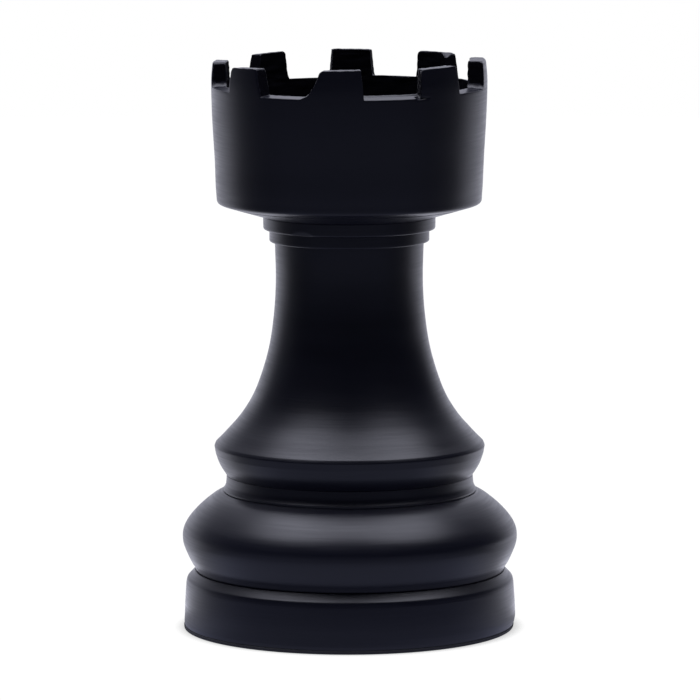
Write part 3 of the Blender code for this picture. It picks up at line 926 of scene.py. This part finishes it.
# ---- studio --------------------------------------------------------------------
# Soft round patches of light: elevation, azimuth from the camera's side, radius (degrees)
# and strength. Two panels hang above the sides, one above the back, over a white backdrop.
PATCHES = (
    (72, -90, 29, 4.10),
    (72, 90, 29, 3.75),
    (50, 180, 36, 1.20),
    (50, -135, 36, 0.30),
    (50, 135, 36, 0.10),
    (25, 180, 30, 0.24),
    (25, 150, 30, 0.20),
    (0, -150, 30, 0.88),
    (0, 152, 29, 0.56),
    (0, -170, 30, 0.30),
    (0, 170, 30, 0.52),
    (0, -110, 30, 0.08),
)
DIM = 0.02             # light from everywhere else
LIGHT_COLOUR = (0.85, 0.86, 1.0)
FRONT_COLOUR = (0.66, 0.70, 1.0)   # of the ground in front, which mirrors less of the lights

# painted light: glow of the ground, which is no lamp, near the rook and away from it
GLOW_FRONT = (0.50, 0.25)
GLOW_SIDE = (0.63, 0.16)
GLOW_BEHIND = (2.2, 1.2)
# where the three parts blend, -1 straight in front of the rook and 1 straight behind it
FRONT_TO_SIDE = (-0.70, -0.30)
SIDE_TO_BACK = (0.15, 0.55)
RIGHT_LATER = 0.10     # on the right the bright ground behind starts further round
GLOW_UNDER = 1.0       # inside the pad, where only the underside sees it
GROUND_RADIUS = 4.0
# the contact shadow is painted: ambient occlusion within this reach dims the ground's emission
CONTACT_REACH = 0.014  # width of the thin shadow where the rook touches the ground
CONTACT_SAMPLES = 8


def dot(shader, direction, target):
    made = shader.tree.nodes.new("ShaderNodeVectorMath")
    made.operation = "DOT_PRODUCT"
    shader.feed(made.inputs[0], direction)
    made.inputs[1].default_value = target
    return made.outputs["Value"]


def toward(elevation, azimuth):
    """Unit vector towards an elevation, and an azimuth from the camera's side, in degrees."""
    e, a = math.radians(elevation), math.radians(azimuth)
    return (math.cos(e) * math.sin(a), -math.cos(e) * math.cos(a), math.sin(e))


def make_world():
    """White to the camera. The light is a few soft round patches of a white studio."""
    world = bpy.data.worlds.new("studio")
    bpy.context.scene.world = world
    world.use_nodes = True
    tree = world.node_tree
    tree.nodes.clear()
    shader = Shader(tree)
    generated = shader.node("ShaderNodeTexCoord").outputs["Generated"]
    turn = shader.node("ShaderNodeVectorRotate", Vector=generated,
                       Angle=-math.radians(CAMERA_AZIMUTH))
    light = DIM
    for elevation, azimuth, edge, strength in PATCHES:
        near = dot(shader, turn.outputs[0], toward(elevation, azimuth))
        spot = shader.ramp(near, math.cos(math.radians(edge)), math.cos(math.radians(2)))
        light = shader.math("ADD", light, shader.math("MULTIPLY", spot, strength))
    lamp = shader.node("ShaderNodeBackground", Color=(*LIGHT_COLOUR, 1), Strength=light)
    white = shader.node("ShaderNodeBackground", Color=(1, 1, 1, 1), Strength=1.0)
    path = shader.node("ShaderNodeLightPath")
    mix = shader.node("ShaderNodeMixShader", Fac=path.outputs["Is Camera Ray"])
    tree.links.new(lamp.outputs[0], mix.inputs[1])
    tree.links.new(white.outputs[0], mix.inputs[2])
    out = shader.node("ShaderNodeOutputWorld")
    tree.links.new(mix.outputs[0], out.inputs[0])


def floor_glow(shader):
    """Painted light from the ground, which glows though it is no lamp: dim towards the camera,
    brighter near the rook and behind it.
    """
    place = shader.node("ShaderNodeTexCoord").outputs["Object"]
    length = shader.tree.nodes.new("ShaderNodeVectorMath")
    length.operation = "LENGTH"
    shader.feed(length.inputs[0], place)
    away = length.outputs["Value"]
    axes = shader.node("ShaderNodeSeparateXYZ", Vector=place)
    right = shader.math("MAXIMUM", shader.math("DIVIDE", axes.outputs[0], away), 0.0)
    back = shader.math("DIVIDE", axes.outputs[1], away)
    colour = shader.mix_colour(shader.ramp(back, -0.5, 0.3), (*FRONT_COLOUR, 1), (*LIGHT_COLOUR, 1))
    back = shader.math("SUBTRACT", back, shader.math("MULTIPLY", right, RIGHT_LATER))
    front = shader.ramp(away, 0.15, 0.60, *GLOW_FRONT)
    side = shader.ramp(away, 0.30, 0.45, *GLOW_SIDE)
    behind = shader.ramp(away, 0.15, 0.30, *GLOW_BEHIND)
    front = shader.math("MULTIPLY", front, shader.ramp(back, *FRONT_TO_SIDE, 1.0, 0.0))
    beside = shader.math("MULTIPLY", shader.ramp(back, *FRONT_TO_SIDE),
                         shader.ramp(back, *SIDE_TO_BACK, 1.0, 0.0))
    side = shader.math("MULTIPLY", side, beside)
    behind = shader.math("MULTIPLY", behind, shader.ramp(back, *SIDE_TO_BACK))
    under = shader.ramp(away, 0.108, 0.114, GLOW_UNDER, 0.0)
    total = shader.math("ADD", shader.math("ADD", front, side), shader.math("ADD", behind, under))
    return total, colour


def make_floor():
    """White ground with a thin painted contact shadow, its emission dimmed by ambient occlusion;
    seen from below it is clear.
    """
    mesh = bpy.data.meshes.new("ground")
    shape = bmesh.new()
    bmesh.ops.create_circle(shape, cap_ends=True, segments=64, radius=GROUND_RADIUS)
    shape.to_mesh(mesh)
    shape.free()
    floor = link("ground", mesh)
    material = bpy.data.materials.new("white_ground")
    material.use_nodes = True
    tree = material.node_tree
    tree.nodes.clear()
    shader = Shader(tree)
    contact = shader.node("ShaderNodeAmbientOcclusion", Distance=CONTACT_REACH)
    contact.samples = CONTACT_SAMPLES
    # painted shadow: the ground's emission as the camera sees it is dimmed where ambient occlusion
    # finds the rook close by
    shade = shader.ramp(contact.outputs["AO"], 0.35, 0.92, 0.62, 1.03)
    seen = shader.node("ShaderNodeEmission", Color=(1, 1, 1, 1), Strength=shade)
    glow, colour = floor_glow(shader)
    # painted light: the ground glows for every ray but the camera's, brighter near the rook and
    # behind it
    lit = shader.node("ShaderNodeEmission", Color=colour, Strength=glow)
    path = shader.node("ShaderNodeLightPath")
    both = shader.node("ShaderNodeMixShader", Fac=path.outputs["Is Camera Ray"])
    tree.links.new(lit.outputs[0], both.inputs[1])
    tree.links.new(seen.outputs[0], both.inputs[2])
    side = shader.node("ShaderNodeNewGeometry").outputs["Backfacing"]
    clear = shader.node("ShaderNodeBsdfTransparent")
    mix = shader.node("ShaderNodeMixShader", Fac=side)
    tree.links.new(both.outputs[0], mix.inputs[1])
    tree.links.new(clear.outputs[0], mix.inputs[2])
    out = shader.node("ShaderNodeOutputMaterial")
    tree.links.new(mix.outputs[0], out.inputs[0])
    mesh.materials.append(material)


def make_camera():
    data = bpy.data.cameras.new("camera")
    data.lens = CAMERA_LENS
    data.shift_x = CAMERA_SHIFT
    data.sensor_width = SENSOR_WIDTH
    data.clip_start = CLIP_NEAR
    data.clip_end = CLIP_FAR
    camera = bpy.data.objects.new("camera", data)
    bpy.context.scene.collection.objects.link(camera)
    azimuth = math.radians(CAMERA_AZIMUTH)
    turn = (Matrix.Rotation(azimuth, 4, "Z")
            @ Matrix.Rotation(math.radians(90 - CAMERA_PITCH), 4, "X")
            @ Matrix.Rotation(math.radians(CAMERA_ROLL), 4, "Z"))
    place = Vector((CAMERA_DISTANCE * math.sin(azimuth), -CAMERA_DISTANCE * math.cos(azimuth),
                    CAMERA_HEIGHT))
    camera.matrix_world = Matrix.Translation(place) @ turn
    bpy.context.scene.camera = camera


def set_colours():
    """Colours as they are, with no film look."""
    view = bpy.context.scene.view_settings
    view.view_transform = "Standard"
    view.look = "None"
    view.exposure = 0.0
    view.gamma = 1.0


def dress_cad_nodes(materials):
    """Materials for the CAD nodes that are shown as they are; a screw's number is dropped."""
    for name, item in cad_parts.items():
        material = materials.get(CAD_LOOKS.get(name.rstrip("_123456")))
        if material is None:
            continue
        for index in range(len(item.data.materials)):
            item.data.materials[index] = material


SATIN_COLOUR = (0.0050, 0.0055, 0.0125)
SAWN_COLOUR = (0.0046, 0.0044, 0.0074)
# the plain materials: colour and roughness, then metallic, grains per metre and their strength
PLAIN_LOOKS = {
    "cup_black_rough": ((0.0030, 0.0030, 0.0036), 0.75),
    "pad_rubber_matt": ((0.034, 0.034, 0.036), 0.85),
    "seal_rubber_satin": ((0.015, 0.015, 0.015), 0.55),
    "moulded_black": ((0.018, 0.018, 0.019), 0.55),
    "zinc_plate": ((0.55, 0.56, 0.58), 0.35, 1.0),
    "dry_sand_grains": ((0.42, 0.32, 0.20), 0.95, 0.0, 2500.0, 0.8),
}
CAD_LOOKS = {
    "bottom_plate": "moulded_black",
    "sand_chamber": "moulded_black",
    "filler_plug": "moulded_black",
    "plate_gasket": "seal_rubber_satin",
    "plug_seal": "seal_rubber_satin",
    "sand_ballast": "dry_sand_grains",
    "plate_screw": "zinc_plate",
    "tie_rod": "zinc_plate",
    "lower_washer": "zinc_plate",
    "lower_nut": "zinc_plate",
    "upper_washer": "zinc_plate",
    "upper_nut": "zinc_plate",
}


def main():
    paint = satin_paint("satin_black", SATIN_COLOUR, 0.34)
    cut_paint = sawn_paint("sawn_black", SAWN_COLOUR, 0.78)
    plain = {name: plain_material(name, *look) for name, look in PLAIN_LOOKS.items()}

    make_base_pad(plain["pad_rubber_matt"])
    make_base_drum(paint)
    make_base_bulge(paint)
    make_waist_ring(paint)
    make_stem_bell(paint)
    collar = make_collar("lower_collar", 15, 0.0, 0.0013, paint)
    dent(collar, *COLLAR_NICK)
    collar = make_collar("upper_collar", 16, 0.0002, 0.0015, paint)
    knock_off(collar, *COLLAR_CHIP)
    make_crown_dish(paint)
    make_crown(paint, cut_paint)
    make_crown_floor(plain["cup_black_rough"])
    dress_cad_nodes(plain)
    make_floor()
    make_world()
    make_camera()
    set_colours()


main()
